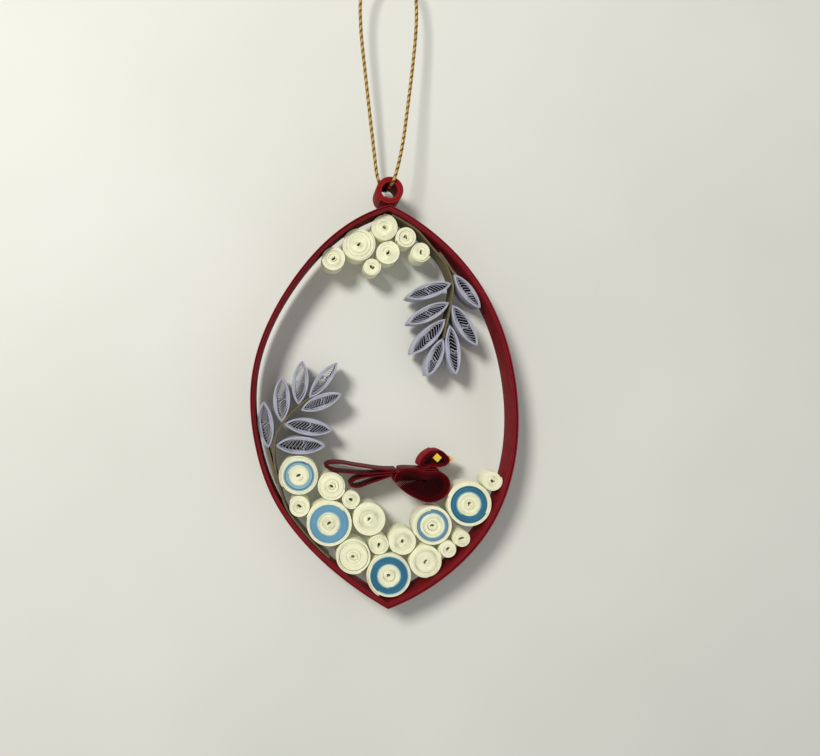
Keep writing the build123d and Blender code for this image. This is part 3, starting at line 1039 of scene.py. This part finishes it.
def thread(name: str, colour: Colour, metallic: float, roughness: float) -> bpy.types.Material:
    """Makes a thread's material, with fine filaments across it.

    Args:
        name: The material's name.
        colour: Its base colour.
        metallic: How metallic it is.
        roughness: Its roughness.

    Returns:
        The material.
    """
    material = bpy.data.materials.new(name)
    material.use_nodes = True
    nodes, links = material.node_tree.nodes, material.node_tree.links
    shader = nodes["Principled BSDF"]
    shader.inputs["Metallic"].default_value = metallic
    shader.inputs["Roughness"].default_value = roughness
    place = nodes.new("ShaderNodeTexCoord")
    noise = add(nodes, "TexNoise", Scale=5200.0)
    links.new(place.outputs["Object"], noise.inputs["Vector"])
    ramp = nodes.new("ShaderNodeValToRGB")
    ramp.color_ramp.elements[0].position = 0.35
    ramp.color_ramp.elements[0].color = (*(channel * 0.45 for channel in colour), 1.0)
    ramp.color_ramp.elements[1].position = 0.62
    ramp.color_ramp.elements[1].color = (*colour, 1.0)
    links.new(noise.outputs["Fac"], ramp.inputs["Fac"])
    links.new(ramp.outputs["Color"], shader.inputs["Base Color"])
    bump = add(nodes, "Bump", Distance=0.03 * MM, Strength=0.6)
    links.new(noise.outputs["Fac"], bump.inputs["Height"])
    links.new(bump.outputs["Normal"], shader.inputs["Normal"])
    return material


def gold_thread() -> bpy.types.Material:
    """Makes the metallic gold thread."""
    return thread("gold_thread", (0.83, 0.55, 0.14), 0.85, 0.32)


def dark_thread() -> bpy.types.Material:
    """Makes the dark brown core thread."""
    return thread("brown_thread", (0.12, 0.055, 0.012), 0.3, 0.6)


# ---------------------------------------------------------------- stage


@dataclass
class Stage:
    """A pale wall behind the ornament, a pale floor far below, soft light and the camera."""

    wall_gap: float = 4.0 * MM
    floor_drop: float = 400.0 * MM
    plane_size: float = 40.0
    wall_shade: float = 0.3  # how much of the rear light the wall lets through
    key_distance: float = 0.6
    key_strength: float = 2.45  # the light it brings to the ornament, whatever its distance
    key_spread: float = 0.25  # its size for its distance
    room_strength: float = 0.45
    fill_strength: float = 1.6

    def backdrop(self) -> None:
        """Stands the wall, which can't be seen from behind, and lays the floor."""
        wall = self._plane("wall", (0.0, BACK + self.wall_gap, -0.11), (math.pi / 2, 0.0, 0.0))
        wall.data.materials.append(self._wall_material())
        low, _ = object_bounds()
        floor = self._plane("floor", (0.0, 0.0, low.z - self.floor_drop), (0.0, 0.0, 0.0))
        floor.data.materials.append(self._plain("pale_floor"))
        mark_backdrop(wall, floor)

    def _plane(
        self, name: str, place: tuple[float, float, float], turn: tuple[float, float, float]
    ) -> bpy.types.Object:
        """Adds a large plane.

        Args:
            name: The plane's name.
            place: Its middle.
            turn: Its rotation, in radians.

        Returns:
            The plane.
        """
        deselect_all()
        bpy.ops.mesh.primitive_plane_add(size=self.plane_size, location=place, rotation=turn)
        plane = bpy.context.view_layer.objects.active
        plane.name = name
        return plane

    def _plain(self, name: str) -> bpy.types.Material:
        """Makes a plain pale matt material with a faint mottle.

        Args:
            name: The material's name.

        Returns:
            The material.
        """
        material = bpy.data.materials.new(name)
        material.use_nodes = True
        nodes, links = material.node_tree.nodes, material.node_tree.links
        shader = nodes["Principled BSDF"]
        shader.inputs["Roughness"].default_value = 0.9
        shader.inputs["Specular IOR Level"].default_value = 0.15
        place = nodes.new("ShaderNodeTexCoord")
        noise = add(nodes, "TexNoise", Scale=9.0, Detail=3.0)
        links.new(place.outputs["Object"], noise.inputs["Vector"])
        ramp = nodes.new("ShaderNodeValToRGB")
        ramp.color_ramp.elements[0].position = 0.3
        ramp.color_ramp.elements[0].color = (0.665, 0.67, 0.61, 1.0)
        ramp.color_ramp.elements[1].position = 0.75
        ramp.color_ramp.elements[1].color = (0.75, 0.745, 0.69, 1.0)
        links.new(noise.outputs["Fac"], ramp.inputs["Fac"])
        links.new(ramp.outputs["Color"], shader.inputs["Base Color"])
        return material

    def _wall_material(self) -> bpy.types.Material:
        """Makes the wall's material, which is clear when it is seen from behind.

        Returns:
            The material.
        """
        material = self._plain("pale_wall")
        nodes, links = material.node_tree.nodes, material.node_tree.links
        clear = nodes.new("ShaderNodeBsdfTransparent")
        side = nodes.new("ShaderNodeNewGeometry")
        ray = nodes.new("ShaderNodeLightPath")
        thin = nodes.new("ShaderNodeMath")
        thin.operation = "MULTIPLY"
        thin.inputs[1].default_value = self.wall_shade
        links.new(ray.outputs["Is Shadow Ray"], thin.inputs[0])
        either = nodes.new("ShaderNodeMath")
        either.operation = "MAXIMUM"
        links.new(side.outputs["Backfacing"], either.inputs[0])
        links.new(thin.outputs["Value"], either.inputs[1])
        mix = nodes.new("ShaderNodeMixShader")
        links.new(either.outputs["Value"], mix.inputs["Fac"])
        links.new(nodes["Principled BSDF"].outputs["BSDF"], mix.inputs[1])
        links.new(clear.outputs["BSDF"], mix.inputs[2])
        links.new(mix.outputs["Shader"], nodes["Material Output"].inputs["Surface"])
        return material

    def light(self) -> None:
        """Hangs a soft key light at the upper left and evens the rest out with the world."""
        deselect_all()
        beam = Vector((0.50, 1.0, -0.45)).normalized()
        place = Vector((0.0, 0.0, -0.115)) - beam * self.key_distance
        bpy.ops.object.light_add(type="AREA", location=place)
        key = bpy.context.view_layer.objects.active
        key.name = "key_light"
        key.data.shape = "DISK"
        key.data.size = self.key_spread * self.key_distance
        key.data.energy = self.key_strength * math.pi * self.key_distance ** 2
        key.data.color = (1.0, 0.985, 0.95)
        key.rotation_euler = beam.to_track_quat("-Z", "Y").to_euler()
        world = bpy.data.worlds.new("soft_room")
        bpy.context.scene.world = world
        world.use_nodes = True
        room = world.node_tree.nodes["Background"]
        room.inputs["Color"].default_value = (0.97, 0.985, 1.0, 1.0)
        room.inputs["Strength"].default_value = self.room_strength
        self._pale_surround(world)
        deselect_all()
        bpy.ops.object.light_add(type="SUN", location=(0.3, 0.8, 0.3))
        fill = bpy.context.view_layer.objects.active
        fill.name = "rear_fill"
        fill.data.energy = self.fill_strength
        fill.data.angle = 0.8
        fill.rotation_euler = Vector((-0.4, -1.0, -0.5)).to_track_quat("-Z", "Y").to_euler()

    def _pale_surround(self, world: bpy.types.World) -> None:
        """Shows the camera a paler room than the one that lights the ornament.

        Args:
            world: The world to change.
        """
        nodes, links = world.node_tree.nodes, world.node_tree.links
        seen = add(nodes, "Background", Color=(0.80, 0.79, 0.76, 1.0))
        ray = nodes.new("ShaderNodeLightPath")
        mix = nodes.new("ShaderNodeMixShader")
        links.new(ray.outputs["Is Camera Ray"], mix.inputs["Fac"])
        links.new(nodes["Background"].outputs["Background"], mix.inputs[1])
        links.new(seen.outputs["Background"], mix.inputs[2])
        links.new(mix.outputs["Shader"], nodes["World Output"].inputs["Surface"])

    def camera(self) -> None:
        """Places the camera before the ornament, a little to its left, looking slightly right."""
        data = bpy.data.cameras.new("camera")
        camera = bpy.data.objects.new("camera", data)
        bpy.context.scene.collection.objects.link(camera)
        data.sensor_width = 36.0
        data.lens = 32.52
        data.shift_x = 0.134
        data.clip_start = 0.01
        data.clip_end = 100.0
        camera.location = (-24.3 * MM, -205.0 * MM, -115.52 * MM)
        camera.rotation_euler = (math.pi / 2, 0.0, 0.0)
        bpy.context.scene.camera = camera


# ---------------------------------------------------------------- the whole ornament


class Blue(Enum):
    """The blues of the banded coils."""

    SKY = (0.155, 0.36, 0.50)
    DEEP = (0.045, 0.20, 0.31)
    SLATE = (0.16, 0.30, 0.40)
    PALE = (0.30, 0.50, 0.56)
    LINE = (0.075, 0.20, 0.28)
    EDGE = (0.42, 0.60, 0.62)


def banded(name: str, radius: float, *bands: tuple[float, Colour]) -> Paper:
    """Makes an ivory paper with colour bands that start at given radii, in millimetres.

    Args:
        name: The finish's name.
        radius: The coil's radius.
        bands: The radius at which each band starts, and its colour.

    Returns:
        The paper.
    """
    shares = tuple(((start - BORE_RADIUS) / (radius - BORE_RADIUS), colour)
                   for start, colour in bands)
    return Paper(name, IVORY, bands=shares)


def wound_maroon(turns: int) -> Paper:
    """Makes the bird's paper, with a painted highlight on its outermost turn and painted shade that
    makes it nearly black inside.

    Args:
        turns: The number of turns of the coil that it is for.

    Returns:
        The paper.
    """
    # The outermost turn's colour is a painted highlight, the next turns keep the paper's own
    # maroon, and the inner colour is painted shade; past the outermost turn the strip's sides get
    # painted shade too.
    lit_rim_colour, inner = (0.20, 0.004, 0.009), (0.042, 0.0006, 0.002)
    return Paper(f"wound_maroon_paper_{turns}", lit_rim_colour, mottle=0.2, tooth=0.4, specular=0.1,
                 bands=((1.02 / turns, MAROON), (4.0 / turns, inner)),
                 painted_shade=0.3, painted_shade_from=1.1 / turns)


def dress_node(node: bpy.types.Object, paper: Paper) -> None:
    """Puts a paper's finish on a node whose shape is already right.

    Args:
        node: The node's object.
        paper: The finish.
    """
    node.data.materials.clear()
    node.data.materials.append(paper.material())
    log.info("%s keeps its node", node.name)


def build_frame(frame: bpy.types.Object) -> None:
    """Winds the red frame and the ring on its top point.

    Args:
        frame: The frame's node.
    """
    # The crimson's edge colour is a painted highlight on the frame's front cut edges.
    crimson = Paper("crimson_paper", CRIMSON, mottle=0.16, tooth=0.5, specular=0.2,
                    edge=(0.235, 0.011, 0.018))
    LensFrame(frame, crimson).build()
    # The scarlet's edge colour is a painted highlight on the ring's front cut edges.
    scarlet = Paper("scarlet_paper", SCARLET, mottle=0.12, tooth=0.5, specular=0.2,
                    edge=(0.30, 0.010, 0.010))
    Coil("hanger_ring", scarlet, "red_paper", bore=2.05 * MM, front=FRONT, seed=3, squeeze=0.02,
         core_share=0.0, uneven=0.05 * MM).build()


def build_coils() -> None:
    """Winds the white coils of both corners and the banded ones of the bottom corner."""
    ivory = Paper("ivory_paper", IVORY)
    for number in range(1, 8):
        Coil(f"top_coil_{number}", ivory, "ivory_paper", seed=10 + number).build()
    for number in range(1, 12):
        tail = 0.5 * MM if number == 9 else 0.0
        Coil(f"white_coil_{number}", ivory, "ivory_paper", seed=30 + number,
             loose_tail=tail).build()
    pale, line, edge = Blue.PALE.value, Blue.LINE.value, Blue.EDGE.value
    sky, deep, slate = Blue.SKY.value, Blue.DEEP.value, Blue.SLATE.value
    blues = (
        banded("pale_blue_bands", 5.5, (2.9, pale), (3.75, line), (4.1, pale), (4.4, IVORY)),
        banded("sky_blue_bands", 6.35, (2.7, edge), (3.0, sky), (5.3, IVORY)),
        banded("deep_blue_bands", 6.2, (3.0, edge), (3.3, deep), (5.2, edge), (5.45, IVORY)),
        banded("slate_blue_bands", 5.4, (3.2, edge), (3.4, slate), (4.35, IVORY)),
        banded("teal_blue_bands", 6.2, (3.1, edge), (3.35, deep), (5.05, IVORY)),
    )
    for number, paper in enumerate(blues, start=1):
        Coil(f"blue_coil_{number}", paper, "blue_banded_paper", seed=50 + number).build()


def build_sprigs(nodes: dict[str, bpy.types.Object]) -> None:
    """Winds the leaves of both sprigs and dresses their stems and twigs.

    Args:
        nodes: The frame's nodes by name.
    """
    # The sides of the leaves' inner turns get painted shade, nearly black.
    lavender = Paper("lavender_paper", LAVENDER, mottle=0.1, painted_shade=0.05, painted_shade_from=0.27)
    for side in ("right", "left"):
        for number in range(1, 8):
            leaf = nodes[f"{side}_leaf_{number}"]
            outward = middle_of(leaf.name)[0] > middle_of(f"{side}_stem")[0]
            slant = 135.0 if side == "right" and outward else 45.0
            Leaf(leaf, nodes[f"{side}_stem"], 70 + number, lavender, slant).build()
    olive = Paper("olive_paper", OLIVE, mottle=0.2, tooth=0.5)
    for name in ("right_stem", "left_stem", "right_twig", "left_twig"):
        dress_node(nodes[name], olive)


def build_bird(nodes: dict[str, bpy.types.Object]) -> None:
    """Winds the bird's body and head and dresses its back, tail, eye and beak.

    Args:
        nodes: The frame's nodes by name.
    """
    maroon = Paper("maroon_paper", MAROON, mottle=0.2, tooth=0.4, specular=0.12)
    yellow = Paper("yellow_paper", (0.72, 0.50, 0.04), mottle=0.12)
    beak = Paper("beak_paper", (0.85, 0.56, 0.16), mottle=0.1)
    for name, paper in (("bird_back", maroon), ("tail_feather_upper", maroon),
                        ("tail_feather_lower", maroon), ("bird_eye", yellow),
                        ("bird_beak", beak)):
        dress_node(nodes[name], paper)
    # Each coil's turns close in on a focus, given by its offset from the middle, in millimetres.
    for name, turns, seed, aside, above in (("bird_body", 14, 5, 0.5, 1.6),
                                            ("bird_head", 8, 6, -0.3, -0.2)):
        middle = middle_of(name)
        focus = middle[0] + aside * MM, middle[1] + above * MM
        PinchedCoil(nodes[name], focus, seed, wound_maroon(turns), "maroon_paper",
                    turns=turns, sink=0.4 * MM).build()


def main() -> None:
    """Builds the ornament in order and reports each piece."""
    logging.basicConfig(level=logging.INFO, format="%(message)s")
    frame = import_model()
    nodes = frame["nodes"]
    stage = Stage()
    stage.camera()
    TwistedCord().build()
    stage.backdrop()
    stage.light()
    build_frame(nodes["frame"])
    build_coils()
    build_sprigs(nodes)
    build_bird(nodes)

    bpy.context.scene.view_settings.view_transform = "Standard"


if __name__ == "__main__":
    main()
